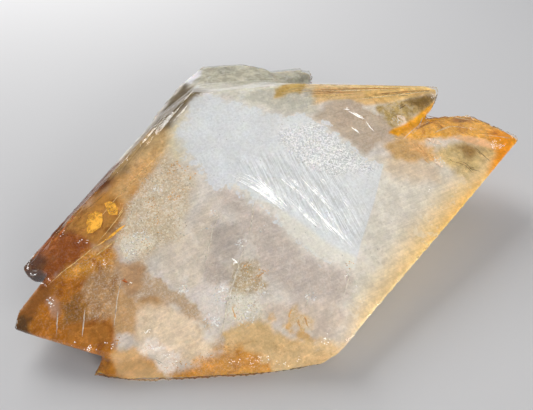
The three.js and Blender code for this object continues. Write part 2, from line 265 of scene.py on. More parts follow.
    Zone("white_wedge", ((-64, -44), (-59, -42), (-57, -46), (-55, -49), (-58, -51), (-61, -48)),
         (232, 218, 204), feather=1.0, border=Ragged.JAGGED, grain=0.95),
    # The high west point.
    Zone("west_brown", ((-92, 8), (-78, 3), (-71, -3), (-69, -8), (-75, -11), (-84, -12), (-92, -10)),
         (146, 87, 12), milk=0.97, feather=1.5, veined=1.0, grain=0.08),
    Zone("west_orange", ((-82, -11), (-70, -8), (-63, -9), (-62, -15), (-69, -16), (-74, -15)),
         (202, 147, 64), feather=2.0, grain=0.3, veined=0.9),
    Zone("west_clear", ((-96, 1), (-88, 1), (-84.5, -1.5), (-83.5, -5), (-85, -8.5), (-88, -9.5),
         (-96, -9)), (98, 64, 26), milk=0.92, feather=1.2, border=Ragged.JAGGED, ripple=0.35, veined=0.8),
    # The frosted patch over all.
    Zone("frosted", FROSTED, (208, 202, 192), milk=1.0, feather=3.0, top_only=True),
    Zone("frosted_gap", ((2, -5), (6, -8), (6, -14), (4, -19), (1, -15), (0, -11)), (206, 201, 198),
         feather=1.5, top_only=True),
)


def seen(look: tuple[int, int, int]) -> Array:
    """Returns the stone's own colour for the colour that shows through the skin."""
    shown = (np.array(look) / 255.0) ** DISPLAY_GAMMA
    return np.clip((shown - THROWN_BACK) / PASSED_ON, DARKEST, LIGHTEST)


def signed_distance(points: Array, outline: Plan) -> Array:
    """Measures how far points of the plan lie inside a closed outline.

    Args:
        points: Places, one row of x and y each.
        outline: The corners, in order.

    Returns:
        The distance to the outline, above zero inside and below zero outside.
    """
    corners = np.array(outline, float)
    nearest = np.full(len(points), np.inf)
    inside = np.zeros(len(points), bool)
    for a, b in zip(corners, np.roll(corners, -1, axis=0)):
        nearest = np.minimum(nearest, segment_distance(points, a, b))
        crosses = (a[1] > points[:, 1]) != (b[1] > points[:, 1])
        rise = b[1] - a[1] if b[1] != a[1] else 1.0
        inside ^= crosses & (points[:, 0] < (b[0] - a[0]) * (points[:, 1] - a[1]) / rise + a[0])
    return np.where(inside, nearest, -nearest)


def segment_distance(points: Array, a: Array, b: Array) -> Array:
    """Returns how far points of the plan lie from the stretch between a and b."""
    along = np.clip((points - a) @ (b - a) / max((b - a) @ (b - a), 1e-9), 0, 1)
    return np.linalg.norm(points - a - along[:, None] * (b - a), axis=1)


def smooth(value: Array, low: float, high: float) -> Array:
    """Returns 0 below low and 1 above high, with an even turn between them."""
    t = np.clip((value - low) / (high - low), 0, 1)
    return t * t * (3 - 2 * t)


def surface(mesh: Mesh) -> tuple[Array, Array, Array]:
    """Reads where a mesh's vertices lie and which way they face.

    Args:
        mesh: The mesh.

    Returns:
        The places in metres, the normals, and the places in plan in millimetres, one row each.
    """
    places = np.empty(len(mesh.vertices) * 3)
    mesh.vertices.foreach_get("co", places)
    places = places.reshape(-1, 3)
    normals = np.empty(places.size, np.float32)
    mesh.vertex_normals.foreach_get("vector", normals)
    return places, normals.reshape(-1, 3).astype(float), places[:, :2] / MM


def set_places(mesh: Mesh, places: Array) -> None:
    """Moves a mesh's vertices to new places in metres."""
    mesh.vertices.foreach_set("co", places.astype(np.float32).ravel())
    mesh.update()


def add_values(mesh: Mesh, name: str, values: Array) -> None:
    """Writes one number for each vertex into a named attribute."""
    mesh.attributes.new(name, "FLOAT", "POINT").data.foreach_set("value", values.astype(np.float32))


def wander(places: Array, period: float, octaves: int = 3, offset: float = 0.0) -> Array:
    """Reads a fixed random field with lumps of a period in millimetres, from about -1 to 1."""
    scaled = places / (period * MM) + offset
    return np.array([noise.fractal(Vector(p), 1.0, 2.0, octaves) for p in scaled])


def new_piece(name: str, data: bpy.types.ID) -> Piece:
    """Puts a mesh, a lamp or a camera into the scene as an object at the origin.

    Args:
        name: The object's name.
        data: The mesh, lamp or camera.

    Returns:
        The object.
    """
    piece = bpy.data.objects.new(name, data)
    bpy.context.scene.collection.objects.link(piece)
    return piece


def baked(piece: Piece) -> Mesh:
    """Turns what a piece's modifiers make into its plain mesh and takes them off.

    Args:
        piece: The piece, whose mesh is replaced.

    Returns:
        The new mesh.
    """
    graph = bpy.context.evaluated_depsgraph_get()
    graph.update()
    mesh = bpy.data.meshes.new_from_object(
        piece.evaluated_get(graph), preserve_all_data_layers=True, depsgraph=graph)
    mesh.name = piece.name
    piece.modifiers.clear()
    piece.data = mesh
    return mesh


def regridded(piece: Piece, grid: float, passes: int) -> Mesh:
    """Rebuilds a piece in small faces and evens them out.

    Args:
        piece: The piece, whose mesh is replaced.
        grid: The size of the faces in millimetres.
        passes: How often they are evened out.

    Returns:
        The new mesh.
    """
    remesh = piece.modifiers.new("Remesh", "REMESH")
    remesh.mode = "VOXEL"
    remesh.voxel_size = grid * MM
    even = piece.modifiers.new("Even", "SMOOTH")
    even.factor = 0.5
    even.iterations = passes
    return baked(piece)


def coat(mesh: Mesh, material: Material) -> None:
    """Gives a mesh one material and smooth shading.

    Args:
        mesh: The mesh.
        material: The material.
    """
    mesh.materials.clear()
    mesh.materials.append(material)
    mesh.polygons.foreach_set("use_smooth", np.ones(len(mesh.polygons), bool))


def ride_and_slot(piece: Piece) -> None:
    """Fixes a piece to the crystal and logs how many faces it has.

    Args:
        piece: The piece.
    """
    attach(piece, BODY)
    LOG.info("%s: %d faces", piece.name, len(piece.data.polygons))


class Sketch:
    """Short ways to add and join nodes in one shader or geometry tree."""

    def __init__(self, tree: Tree) -> None:
        """Keeps the tree to draw in."""
        self.tree = tree

    def add(self, kind: str, inputs: dict[str | int, object] | None = None, **settings: object
            ) -> bpy.types.Node:
        """Adds a node.

        Args:
            kind: Its type name.
            inputs: Values or output sockets for its inputs, by name or number.
            **settings: Properties of the node, such as its operation.

        Returns:
            The node.
        """
        node = self.tree.nodes.new(kind)
        for key, value in settings.items():
            setattr(node, key, value)
        for key, value in (inputs or {}).items():
            if isinstance(value, Socket):
                self.tree.links.new(value, node.inputs[key])
            else:
                node.inputs[key].default_value = value
        return node

    def math(self, operation: str, a: object, b: object, clamp: bool = False) -> Socket:
        """Returns the output of a Math node on two values or sockets."""
        return self.add("ShaderNodeMath", {0: a, 1: b}, operation=operation, use_clamp=clamp).outputs[0]

    def times(self, a: object, b: object) -> Socket:
        """Returns the product of two values or sockets."""
        return self.math("MULTIPLY", a, b)

    def plus(self, a: object, b: object) -> Socket:
        """Returns the sum of two values or sockets."""
        return self.math("ADD", a, b)

    def rest(self, a: Socket, clamp: bool = False) -> Socket:
        """Returns what a value leaves of one."""
        return self.math("SUBTRACT", 1.0, a, clamp)

    def vector(self, operation: str, a: object, b: object) -> Socket:
        """Returns the output of a Vector Math node on two vectors or sockets."""
        return self.add("ShaderNodeVectorMath", {0: a, 1: b}, operation=operation).outputs[0]

    def scaled(self, vector: Socket, by: object) -> Socket:
        """Returns a vector or colour times a number."""
        return self.add("ShaderNodeVectorMath", {0: vector, "Scale": by}, operation="SCALE").outputs[0]

    def ramp(self, value: Socket, low: float, high: float, to_low: float = 0.0, to_high: float = 1.0
             ) -> Socket:
        """Spreads a value from low to high over to_low to to_high, held at its ends."""
        names = {"Value": value, "From Min": low, "From Max": high, "To Min": to_low, "To Max": to_high}
        return self.add("ShaderNodeMapRange", names, interpolation_type="SMOOTHSTEP").outputs["Result"]

    def blend(self, amount: object, a: object, b: object) -> Socket:
        """Returns colour a with a share of colour b in it, each a colour or a socket."""
        a, b = (value if isinstance(value, Socket) else (*value, 1.0) for value in (a, b))
        return self.add("ShaderNodeMix", {0: amount, 6: a, 7: b}, data_type="RGBA").outputs[2]

    def noise(self, place: Socket, scale: float, detail: float = 3.0, roughness: float = 0.6,
              distortion: float = 0.0) -> Socket:
        """Returns noise around a half, with scale lumps for each unit of place."""
        return self.add("ShaderNodeTexNoise", {
            "Vector": place, "Scale": scale, "Detail": detail, "Roughness": roughness,
            "Distortion": distortion}).outputs[0]

    def streaks(self, place: Socket, degrees: float, scale: Triple, roughness: float) -> Socket:
        """Returns noise drawn out along one direction of the plan."""
        turn = {"Vector": place, "Rotation": (0, 0, math.radians(degrees)), "Scale": scale}
        return self.noise(self.add("ShaderNodeMapping", turn).outputs[0], 1.0, 3.0, roughness)

    def cloud(self, clouds: Tree, place: Socket, size: float, warp: float = 0.6) -> Socket:
        """Returns soft clouds of a size in metres, from the shared group."""
        inputs = {"Place": place, "Size": size, "Warp": warp}
        return self.add("ShaderNodeGroup", inputs, node_tree=clouds).outputs[0]

    def attribute(self, name: str, output: str = "Fac") -> Socket:
        """Returns what one of the piece's own attributes holds."""
        return self.add("ShaderNodeAttribute", attribute_name=name).outputs[output]

    def place(self) -> Socket:
        """Returns the place on the piece, in metres."""
        return self.add("ShaderNodeTexCoord").outputs["Object"]


def group_sockets(tree: Tree, direction: str, sockets: dict[str, object]) -> None:
    """Makes a group's named sockets.

    Args:
        tree: The group's tree.
        direction: INPUT or OUTPUT.
        sockets: By name, a starting number, or the kind of a socket that has none.
    """
    for name, value in sockets.items():
        kind = {float: "Float", int: "Int"}.get(type(value), value)
        socket = tree.interface.new_socket(name, in_out=direction, socket_type=f"NodeSocket{kind}")
        if kind is not value:
            socket.default_value = value


def new_material(name: str) -> tuple[Material, Sketch]:
    """Makes an empty material.

    Args:
        name: Its name.

    Returns:
        The material and the sketch that draws its nodes.
    """
    material = bpy.data.materials.new(name)
    material.use_nodes = True
    material.node_tree.nodes.clear()
    return material, Sketch(material.node_tree)


def milk_clouds() -> Tree:
    """Builds the group for cloudy milk: soft lumps broken up by finer ones.

    Returns:
        A group with Place, Size in metres and Warp in, and Cloud from 0 to 1 out.
    """
    tree = bpy.data.node_groups.new("MilkClouds", "ShaderNodeTree")
    group_sockets(tree, "INPUT", {"Place": "Vector", "Size": 0.01, "Warp": 0.6})
    group_sockets(tree, "OUTPUT", {"Cloud": "Float"})
    s = Sketch(tree)
    into = s.add("NodeGroupInput").outputs
    place = s.scaled(into["Place"], s.math("DIVIDE", 1.0, into["Size"]))
    bend = s.add("ShaderNodeTexNoise", {"Vector": place, "Scale": 1.7, "Detail": 2.0}).outputs["Color"]
    shift = s.scaled(s.vector("SUBTRACT", bend, (0.5, 0.5, 0.5)), into["Warp"])
    lumps = s.noise(s.vector("ADD", place, shift), 1.0, 5.0, 0.62)
    s.add("NodeGroupOutput", {"Cloud": s.ramp(lumps, 0.36, 0.66)})
    return tree


@dataclass(frozen=True)
class ClearCalcite:
    """The skin: see-through calcite, satin where it is etched and clear on its facets."""

    ior: float = 1.55
    tint: Colour = (1.0, 0.998, 0.985)
    lamp_tint: Colour = (0.96, 0.955, 0.94)
    clear_roughness: float = 0.04
    etched_roughness: float = 0.11
    absorbed: Colour = (1.0, 0.86, 0.58)
    density: float = 8.0
    patch_size: float = 0.006
    fine_lumps: float = 900.0
    broad_lumps: float = 90.0

    def material(self, clouds: Tree) -> Material:
        """Builds the skin's material.

        Args:
            clouds: The group for cloudy patterns.

        Returns:
            The material.
        """
        material, s = new_material("clear_calcite")
        place = s.place()
        patches = s.ramp(s.cloud(clouds, place, self.patch_size), 0.0, 1.0, 0.6, 1.0)
        patchy = s.times(s.attribute("etched"), patches)
        rough = s.ramp(patchy, 0.0, 1.0, self.clear_roughness, self.etched_roughness)
        height = s.plus(s.times(s.noise(place, self.fine_lumps), 0.2), s.noise(place, self.broad_lumps))
        bump = s.add("ShaderNodeBump", {"Height": height, "Strength": 0.05, "Distance": 0.0012})
        glass = s.add("ShaderNodeBsdfPrincipled", {
            "Base Color": (*self.tint, 1.0), "Roughness": rough, "Transmission Weight": 1.0,
            "IOR": self.ior, "Normal": bump.outputs[0]})
        for_lamps = s.add("ShaderNodeBsdfTransparent", {"Color": (*self.lamp_tint, 1.0)})
        shadow = s.add("ShaderNodeLightPath").outputs["Is Shadow Ray"]
        mixed = s.add("ShaderNodeMixShader", {0: shadow, 1: glass.outputs[0], 2: for_lamps.outputs[0]})
        inside = s.add("ShaderNodeVolumeAbsorption", {"Color": (*self.absorbed, 1.0),
                                                      "Density": self.density})
        s.add("ShaderNodeOutputMaterial", {"Surface": mixed.outputs[0], "Volume": inside.outputs[0]})
        return material


@dataclass(frozen=True)
class MilkyCalcite:
    """The body: milk, colour and small stains, as dense as its attributes say.

    Cloud sizes are in metres, and the other patterns have so many lumps to the metre.
    """

    wisp: Colour = (0.88, 0.85, 0.80)
    stain: Colour = (0.50, 0.28, 0.11)
    veil: Colour = (0.07, 0.052, 0.025)
    deep: Colour = (0.60, 0.46, 0.30)
    frost: Colour = (0.73, 0.75, 0.775)
    frost_low: Colour = (0.78, 0.765, 0.715)
    crust: Colour = (0.97, 0.97, 0.985)
    ripple_dark: Colour = (0.14, 0.10, 0.045)
    ripple_light: Colour = (0.52, 0.43, 0.24)
    large_clouds: float = 0.013
    small_clouds: float = 0.0035
    wisp_clouds: float = 0.009
    border_clouds: float = 0.0045
    fine_lumps: float = 1100.0
    grain_lumps: float = 1500.0
    veil_lumps: float = 210.0
    depth_lumps: float = 130.0
    wave_lumps: float = 420.0
    trace_lumps: Triple = (90.0, 1300.0, 300.0)
    thread_lumps: Triple = (2600.0, 110.0, 110.0)

    def material(self, clouds: Tree) -> Material:
        """Builds the body's material.

        Args:
            clouds: The group for cloudy patterns.

        Returns:
            The material.
        """
        material, s = new_material("milky_calcite")
        place = s.place()
        tone = s.attribute("tone", "Color")
        large = s.cloud(clouds, place, self.large_clouds, 1.2)
        small = s.cloud(clouds, place, self.small_clouds, 0.8)
        fine = s.noise(place, self.fine_lumps, 3.0, 0.7)
        # Broad light and dark veils, then finer mottling.
        shade = s.times(s.ramp(large, 0.0, 1.0, 0.945, 1.045), s.ramp(small, 0.0, 1.0, 0.94, 1.05))
        shade = s.times(shade, s.ramp(fine, 0.3, 0.7, 0.92, 1.07))
        for turn, depth in ((-43.0, 0.045), (70.0, 0.035)):
            traces = s.streaks(place, turn, self.trace_lumps, 0.65)
            shade = s.times(shade, s.ramp(traces, 0.35, 0.65, 1 - depth, 1 + depth))
        stone = s.scaled(tone, shade)
        veined = s.attribute("veined")
        pale = s.ramp(s.add("ShaderNodeRGBToBW", {0: tone}).outputs[0], 0.22, 0.50, 0.06, 0.32)
        pale = s.times(pale, s.ramp(veined, 0.0, 0.3, 1.0, 0.15))
        wisps = s.ramp(s.cloud(clouds, place, self.wisp_clouds, 2.2), 0.70, 1.0)
        stone = s.blend(s.times(wisps, pale), stone, self.wisp)

        # Clear amber calcite: light veils and darker depths that run through each other.
        veils = s.ramp(s.noise(place, self.veil_lumps, 5.0, 0.72, 1.2), 0.50, 0.68)
        depths = s.ramp(s.noise(place, self.depth_lumps, 5.0, 0.70, 0.8), 0.50, 0.34)
        lit = s.vector("ADD", s.scaled(stone, 1.34), self.veil)
        deep = s.vector("MULTIPLY", stone, self.deep)
        stone = s.blend(s.times(depths, veined), stone, deep)
        stone = s.blend(s.times(veils, veined), stone, lit)

        # Granular calcite: pale grains with brown between them.
        grain = s.attribute("grain")
        grains = s.noise(place, self.grain_lumps, 2.0, 0.8, 0.6)
        stone = s.blend(s.times(grain, s.ramp(grains, 0.50, 0.62, 0.0, 0.85)), stone, self.wisp)
        pits = s.times(s.ramp(grains, 0.47, 0.38, 0.0, 0.5), s.ramp(small, 0.2, 0.8))
        stone = s.blend(s.times(grain, pits), stone, self.stain)

        # The frosted patch breaks up at its border, except along the clean cleavage line.
        nibbles = s.math("SUBTRACT", s.cloud(clouds, place, self.border_clouds, 1.2), 0.45)
        eaten = s.times(s.times(nibbles, 5.0), s.attribute("ragged"))
        edge = s.plus(s.attribute("frost_mm"), eaten)
        soft = s.attribute("soft_edge")
        crisp = s.times(s.ramp(edge, -0.25, 0.35), s.rest(soft))
        frosted = s.plus(crisp, s.times(s.ramp(edge, -3.0, 3.0), soft))
        white = s.blend(s.attribute("strip"), self.frost, self.frost_low)
        crust = s.attribute("crust")
        for dims in (s.ramp(large, 0.0, 1.0, 0.95, 1.02), s.ramp(fine, 0.3, 0.7, 0.90, 1.07),
                     s.ramp(crust, 0.0, 1.0, 1.0, 0.79)):
            white = s.scaled(white, dims)
        white = s.blend(s.times(s.ramp(grains, 0.46, 0.56), crust), white, self.crust)
        # Fine feathering across the patch, along the direction of its streaks.
        threads = s.ramp(s.streaks(place, 17.0, self.thread_lumps, 0.7), 0.35, 0.65, -0.20, 0.17)
        white = s.scaled(white, s.plus(1.0, s.times(s.attribute("feathered"), threads)))
        stone = s.blend(frosted, stone, white)

        # Growth lines on the flank.
        across = s.add("ShaderNodeCombineXYZ", {0: s.attribute("lined")}).outputs[0]
        stripes = s.ramp(s.noise(across, 1.5, 4.0, 0.75), 0.35, 0.65, -0.34, 0.36)
        stone = s.scaled(stone, s.plus(s.times(stripes, s.attribute("flank")), 1.0))

        # Wavy light and dark in the clear windows.
        ripple = s.attribute("ripple")
        waves = s.noise(place, self.wave_lumps, 3.0, 0.6, 2.4)
        for low, high, most, colour in ((0.50, 0.38, 0.75, self.ripple_dark),
                                        (0.56, 0.68, 0.6, self.ripple_light)):
            stone = s.blend(s.times(ripple, s.ramp(waves, low, high, 0.0, most)), stone, colour)

        gaps = s.times(s.rest(s.attribute("milk")), s.ramp(small, 0.0, 1.0, 1.6, 0.4))
        bump = s.add("ShaderNodeBump", {"Height": fine, "Strength": 0.5, "Distance": 0.0006})
        body = s.add("ShaderNodeBsdfPrincipled", {
            "Base Color": stone, "Roughness": 0.7, "Specular IOR Level": 0.0,
            "Alpha": s.rest(gaps, clamp=True), "Subsurface Weight": 0.5,
            "Subsurface Radius": (1.0, 0.65, 0.35), "Subsurface Scale": 0.0025,
            "Normal": bump.outputs[0]})
        s.add("ShaderNodeOutputMaterial", {"Surface": body.outputs[0]})
        return material


@dataclass(frozen=True)
class Inclusion:
    """A small inclusion in one colour, broken up by its own grain. Its painted glow is painted light:
    emission that lifts it out of its own shade.
    """

    name: str
    look: tuple[int, int, int]
    alpha: float = 1.0
    roughness: float = 0.4
    specular: float = 0.4
    variation: float = 0.25
    painted_glow: float = 0.0
    lumps: float = 500.0

    def material(self) -> Material:
        """Builds the inclusion's material.

        Returns:
            The material.
        """
        material, s = new_material(self.name)
        grain = s.noise(s.place(), self.lumps, 4.0, 0.7)
        tone = seen(self.look)
        alpha = s.ramp(grain, 0.30, 0.60, min(0.4 * self.alpha, 1.0), min(self.alpha, 1.0))
        # Emission paints light onto the inclusion: a painted glow, though it is no lamp.
        stone = s.add("ShaderNodeBsdfPrincipled", {
            "Base Color": s.blend(s.ramp(grain, 0.35, 0.65), (1 - self.variation) * tone, tone),
            "Roughness": self.roughness, "Specular IOR Level": self.specular, "Alpha": alpha,
            "Emission Color": (*tone, 1.0), "Emission Strength": self.painted_glow})
        s.add("ShaderNodeOutputMaterial", {"Surface": stone.outputs[0]})
        return material


# Painted light: each glow is emission that brightens a finish out of its own shade; on the feathers,
# sparkles and glints it also paints their highlights.
WHITE = Inclusion("white_feather", (252, 253, 255), 1.6, variation=0.05, painted_glow=0.4)
BRIGHT = Inclusion("bright_feather", (248, 250, 255), 1.1, variation=0.12, painted_glow=0.32)
FROST_GRAIN = Inclusion("frost_grain", (238, 240, 243), 0.8, painted_glow=0.12)
CREAM_GRAIN = Inclusion("cream_grain", (232, 222, 200), 0.8, painted_glow=0.06)
AMBER_FLECK = Inclusion("amber_fleck", (228, 180, 118), 0.75, variation=0.15, painted_glow=0.1)
DARK_SPECK = Inclusion("dark_speck", (120, 108, 92), 0.9)
PALE_LINE = Inclusion("pale_line", (228, 218, 202), 0.75, painted_glow=0.1)
GOLD_GLINT = Inclusion("gold_glint", (250, 178, 74), 1.0, 0.25, 0.5, 0.45, 0.15)
PALE_FLAKE = Inclusion("pale_flake", (226, 206, 184), 0.9, 0.4, 0.4, 0.12, 0.1)
SPARKLE = Inclusion("sparkle", (255, 255, 255), 1.0, 0.15, 0.8, 0.05, 0.4)


@dataclass
class CrystalForm:
    """The crystal's outer form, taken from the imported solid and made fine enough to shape.

    Lengths are in millimetres. flank_line is the lower edge of the west flank, which is flank_start
    wide at its west end and flank_width at its east end. Growth lines are cut into it. Places lower
    than resting are the underside and stay as they are.
    """

    grid: float = 0.75
    relief: float = 0.10
    relief_period: float = 14.0
    line_depth: float = 0.42
    line_period: float = 2.5
    line_drift: float = 0.6
    line_rise: float = 0.75
    deepest: float = 0.6
    resting: float = 0.4
    flank_line: Plan = ((-92.9, -0.5), (-35.4, 43.8))
    flank_start: float = 3.0
    flank_width: float = 22.0
    mesh: Mesh = field(init=False)
    tree: BVHTree = field(init=False)

    def __post_init__(self) -> None:
        """Makes the fine mesh and the tree that places are looked up in."""
        piece = new_piece("crystal_form", bpy.data.objects[NODE].data.copy())
        piece.modifiers.new("Weld", "WELD").merge_threshold = 1e-6
        self.mesh = regridded(piece, self.grid, 2)
        bpy.data.objects.remove(piece)
        self.carve()
        self.tree = BVHTree.FromPolygons([v.co for v in self.mesh.vertices],
                                         [p.vertices for p in self.mesh.polygons])

    def flank_share(self, plan: Array) -> tuple[Array, Array]:
        """Finds the west flank.

        Args:
            plan: Places of the plan.

        Returns:
            How far each place lies in from the flank's lower edge, in millimetres, and how much it
            belongs to the flank, from 0 to 1.
        """
        a, b = (np.array(p) for p in self.flank_line)
        length = np.linalg.norm(b - a)
        along = (b - a) / length
        away = plan - a
        forward = away @ along
        inward = along[1] * away[:, 0] - along[0] * away[:, 1]
        width = self.flank_start + (self.flank_width - self.flank_start) * np.clip(forward / length, 0, 1)
        ends = smooth(forward, -2, 3) * smooth(length - forward, -3, 1)
        return inward, smooth(width - inward, 0.0, 2.0) * ends

    def carve(self) -> None:
        """Cuts growth lines along the flank and a faint swell into the faces, always inwards."""
        places, normals, plan = surface(self.mesh)
        inward, on_flank = self.flank_share(plan)
        step = (inward / self.line_period + self.line_drift * wander(places, 30.0, 2, 5.0)) % 1.0
        ridge = np.minimum(step / self.line_rise, (1 - step) / (1 - self.line_rise))
        swell = (wander(places, self.relief_period, 2) + 1) * 0.5 * self.relief
        depth = np.clip(ridge * self.line_depth * on_flank + swell, 0, self.deepest)
        depth[places[:, 2] < self.resting * MM] = 0
        carved = places - normals * depth[:, None] * MM
        carved[:, 2] = np.maximum(carved[:, 2], 0.0)
        set_places(self.mesh, carved)

    def on_surface(self, spot: tuple[float, float], depth: float) -> Vector | None:
        """Returns the place in metres at a depth under a spot, or nothing off the crystal."""
        hit, normal, _, _ = self.tree.ray_cast(Vector((spot[0] * MM, spot[1] * MM, ABOVE)), DOWN)
        return None if hit is None else hit - normal * depth * MM


@dataclass
class Skin:
    """The outer surface of the crystal, in clear calcite."""

    form: CrystalForm
    finish: ClearCalcite = ClearCalcite()

    def build(self, clouds: Tree) -> None:
        """Builds the skin, which stands for the solid.

        Args:
            clouds: The group for cloudy patterns.
        """
        mesh = self.form.mesh.copy()
        piece = new_piece("crystal_skin", mesh)
        places, normals, plan = surface(mesh)
        frost = smooth(signed_distance(plan, FROSTED), -1.0, 3.0) * (normals[:, 2] > 0.3)
        etched = np.clip(0.35 + 0.35 * wander(places, 16.0, 3, 7.0) + 0.5 * frost, 0, 1)
        tips = smooth(np.abs(plan[:, 0]), 66, 90)
        add_values(mesh, "etched", etched * (1 - 0.8 * tips))
        coat(mesh, self.finish.material(clouds))
        ride_and_slot(piece)
        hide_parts(NODE)


@dataclass
class MilkyBody:
    """The milky calcite close under the skin, painted zone by zone."""

    form: CrystalForm
    depth: float = 1.1
    side_depth: float = 0.2
    grid: float = 0.74
    finish: MilkyCalcite = MilkyCalcite()

    def build(self, clouds: Tree) -> Piece:
        """Builds the body.

        Args:
            clouds: The group for cloudy patterns.

        Returns:
            The piece.
        """
        piece = new_piece("milky_body", self.form.mesh.copy())
        places, normals, _ = surface(piece.data)
        sink = self.side_depth + (self.depth - self.side_depth) * smooth(normals[:, 2], 0.2, 0.8)
        set_places(piece.data, places - normals * sink[:, None] * MM)
        mesh = regridded(piece, self.grid, 3)
        self.paint(mesh)
        coat(mesh, self.finish.material(clouds))
        ride_and_slot(piece)
        return piece

    def paint(self, mesh: Mesh) -> None:
        """Writes the colour, the density and the borders of the zones onto the mesh.

        Args:
            mesh: The body's mesh.
        """
        places, normals, plan = surface(mesh)
        rough = wander(places, 5.0, 4, 3.0) * 2.0
        upward = smooth(normals[:, 2], 0.0, 0.4)
        tone = np.tile(seen(HEART), (len(places), 1))
        values = {name: np.full(len(places), getattr(Zone, name))
                  for name in ("milk", "grain", "ripple", "veined")}
        for zone in ZONES:
            inside = signed_distance(plan, zone.outline) + rough * zone.border.value
            share = smooth(inside, -zone.feather, zone.feather)
            if zone.top_only:
                share *= upward
            tone += share[:, None] * (seen(zone.look) - tone)
            for name in values:
                values[name] += share * (getattr(zone, name) - values[name])
        colours = np.c_[np.clip(tone, 0, 1), np.ones(len(places))].astype(np.float32)
        mesh.attributes.new("tone", "FLOAT_COLOR", "POINT").data.foreach_set("color", colours.ravel())
        for name, outline, soft in (("strip", FROST_STRIP, 1.0), ("crust", CRUST, 3.0),
                                    ("feathered", FEATHERED, 3.0)):
            values[name] = smooth(signed_distance(plan, outline), -soft, soft)
        line = np.array(FROST_LINE, float)
        to_line = np.min([segment_distance(plan, a, b) for a, b in zip(line, line[1:])], axis=0)
        northward = smooth(plan[:, 1] + 0.35 * plan[:, 0], -6, 6)
        values["frost_mm"] = np.where(normals[:, 2] > 0.15, signed_distance(plan, FROSTED), -20.0)
        values["ragged"] = smooth(to_line, 0.6, 5.0)
        values["soft_edge"] = northward * smooth(-plan[:, 0], -14, -4)
        values["lined"], values["flank"] = self.form.flank_share(plan)
        for name, numbers in values.items():
            add_values(mesh, name, numbers)


class PieceNodes:
    """Geometry Nodes that grow the faces of a piece, in a tree with named inputs."""

    def __init__(self, name: str, inputs: dict[str, object]) -> None:
        """Starts the tree.

        Args:
            name: Its name.
            inputs: The starting values of its numbers, by name.
        """
        self.tree = bpy.data.node_groups.new(name, "GeometryNodeTree")
        group_sockets(self.tree, "INPUT", {"Geometry": "Geometry", **inputs, "Material": "Material"})
        group_sockets(self.tree, "OUTPUT", {"Geometry": "Geometry"})
        self.sketch = Sketch(self.tree)
        self.into = self.sketch.add("NodeGroupInput").outputs

    def number(self, name: str) -> Socket:
        """Returns the number in one of the mesh's own attributes."""
        return self.sketch.add(
            "GeometryNodeInputNamedAttribute", {"Name": name}, data_type="FLOAT").outputs[0]

    def end(self, shapes: Socket) -> None:
        """Ends the tree in real faces with the piece's material.

        Args:
            shapes: The geometry so far.
        """
        s = self.sketch
        real = s.add("GeometryNodeRealizeInstances", {0: shapes}).outputs[0]
        inputs = {"Geometry": real, "Material": self.into["Material"]}
        s.add("NodeGroupOutput", {0: s.add("GeometryNodeSetMaterial", inputs).outputs[0]})

    def grow(self, name: str, mesh: Mesh, finish: Inclusion, values: dict[str, object]) -> None:
        """Runs the tree on a mesh and keeps the result as a piece.

        Args:
            name: The piece's name.
            mesh: The mesh that the tree works on.
            finish: The piece's finish.
            values: The tree's numbers, by name.
        """
        piece = new_piece(name, mesh)
        modifier = piece.modifiers.new(self.tree.name, "NODES")
        modifier.node_group = self.tree
        values = {**values, "Material": finish.material()}
        for item in self.tree.interface.items_tree:
            if item.in_out == "INPUT" and item.name in values:
                modifier[item.identifier] = values[item.name]
        baked(piece)
        ride_and_slot(piece)


class Scattering(PieceNodes):
    """Geometry Nodes that strew small angular grains over a surface."""

    def __init__(self) -> None:
        """Builds the tree."""
        super().__init__("StrewGrains", {"Density": PER_SQUARE_MM, "Smallest": 0.0003, "Largest": 0.0006,
                                         "Flatness": 0.4, "Tilt": 0.5, "Seed": 0})
        s, into = self.sketch, self.into
        points = s.add("GeometryNodeDistributePointsOnFaces", {
            "Mesh": into["Geometry"], "Density": s.times(into["Density"], self.number("here")),
            "Seed": into["Seed"]}, distribute_method="RANDOM")
        grain = s.add("GeometryNodeMeshIcoSphere", {"Radius": 1.0, "Subdivisions": 1})
        size = s.add("FunctionNodeRandomValue", {2: into["Smallest"], 3: into["Largest"],
                                                 "Seed": into["Seed"]}, data_type="FLOAT").outputs[1]
        shape = s.add("ShaderNodeCombineXYZ", {0: size, 1: s.times(size, 0.65),
                                               2: s.times(size, into["Flatness"])})
        low = s.times(into["Tilt"], -1.0)
        turns = [s.add("ShaderNodeCombineXYZ", {0: tilt, 1: tilt, 2: spin}).outputs[0]
                 for tilt, spin in ((low, 0.0), (into["Tilt"], math.tau))]
        turn = s.add("FunctionNodeRandomValue", {0: turns[0], 1: turns[1],
                                                 "Seed": s.plus(into["Seed"], 7)},
                     data_type="FLOAT_VECTOR").outputs[0]
        spread = s.add("GeometryNodeInstanceOnPoints", {
            "Points": points.outputs["Points"], "Instance": grain.outputs["Mesh"], "Rotation": turn,
            "Scale": shape.outputs[0]})
        self.end(spread.outputs[0])


class PathSweep(PieceNodes):
    """Geometry Nodes that draw thin tapering needles along paths."""

    def __init__(self) -> None:
        """Builds the tree."""
        super().__init__("DrawNeedles", {"Thickness": 0.0002})
        s, into = self.sketch, self.into
        curve = s.add("GeometryNodeMeshToCurve", {"Mesh": into["Geometry"]})
        profile = s.add("GeometryNodeCurvePrimitiveCircle", {"Resolution": 4, "Radius": 1.0})
        swept = s.add("GeometryNodeCurveToMesh", {
            "Curve": curve.outputs[0], "Profile Curve": profile.outputs[0],
            "Scale": s.times(self.number("taper"), into["Thickness"]), "Fill Caps": True})
        self.end(swept.outputs[0])


@dataclass(frozen=True)
class Strewn:
    """One kind of grain and where it lies.

    areas are outlines, spots are places with a radius, density is grains for each square millimetre,
    sizes are half widths and lift is the height over the milky body, all in millimetres.
    """

    name: str
    finish: Inclusion
    areas: tuple[Plan, ...] = ()
    spots: tuple[tuple[float, float, float], ...] = ()
    density: float = 1.0
    sizes: tuple[float, float] = (0.25, 0.5)
    lift: float = -0.05
    flatness: float = 0.4
    tilt: float = 0.6
    seed: int = 1


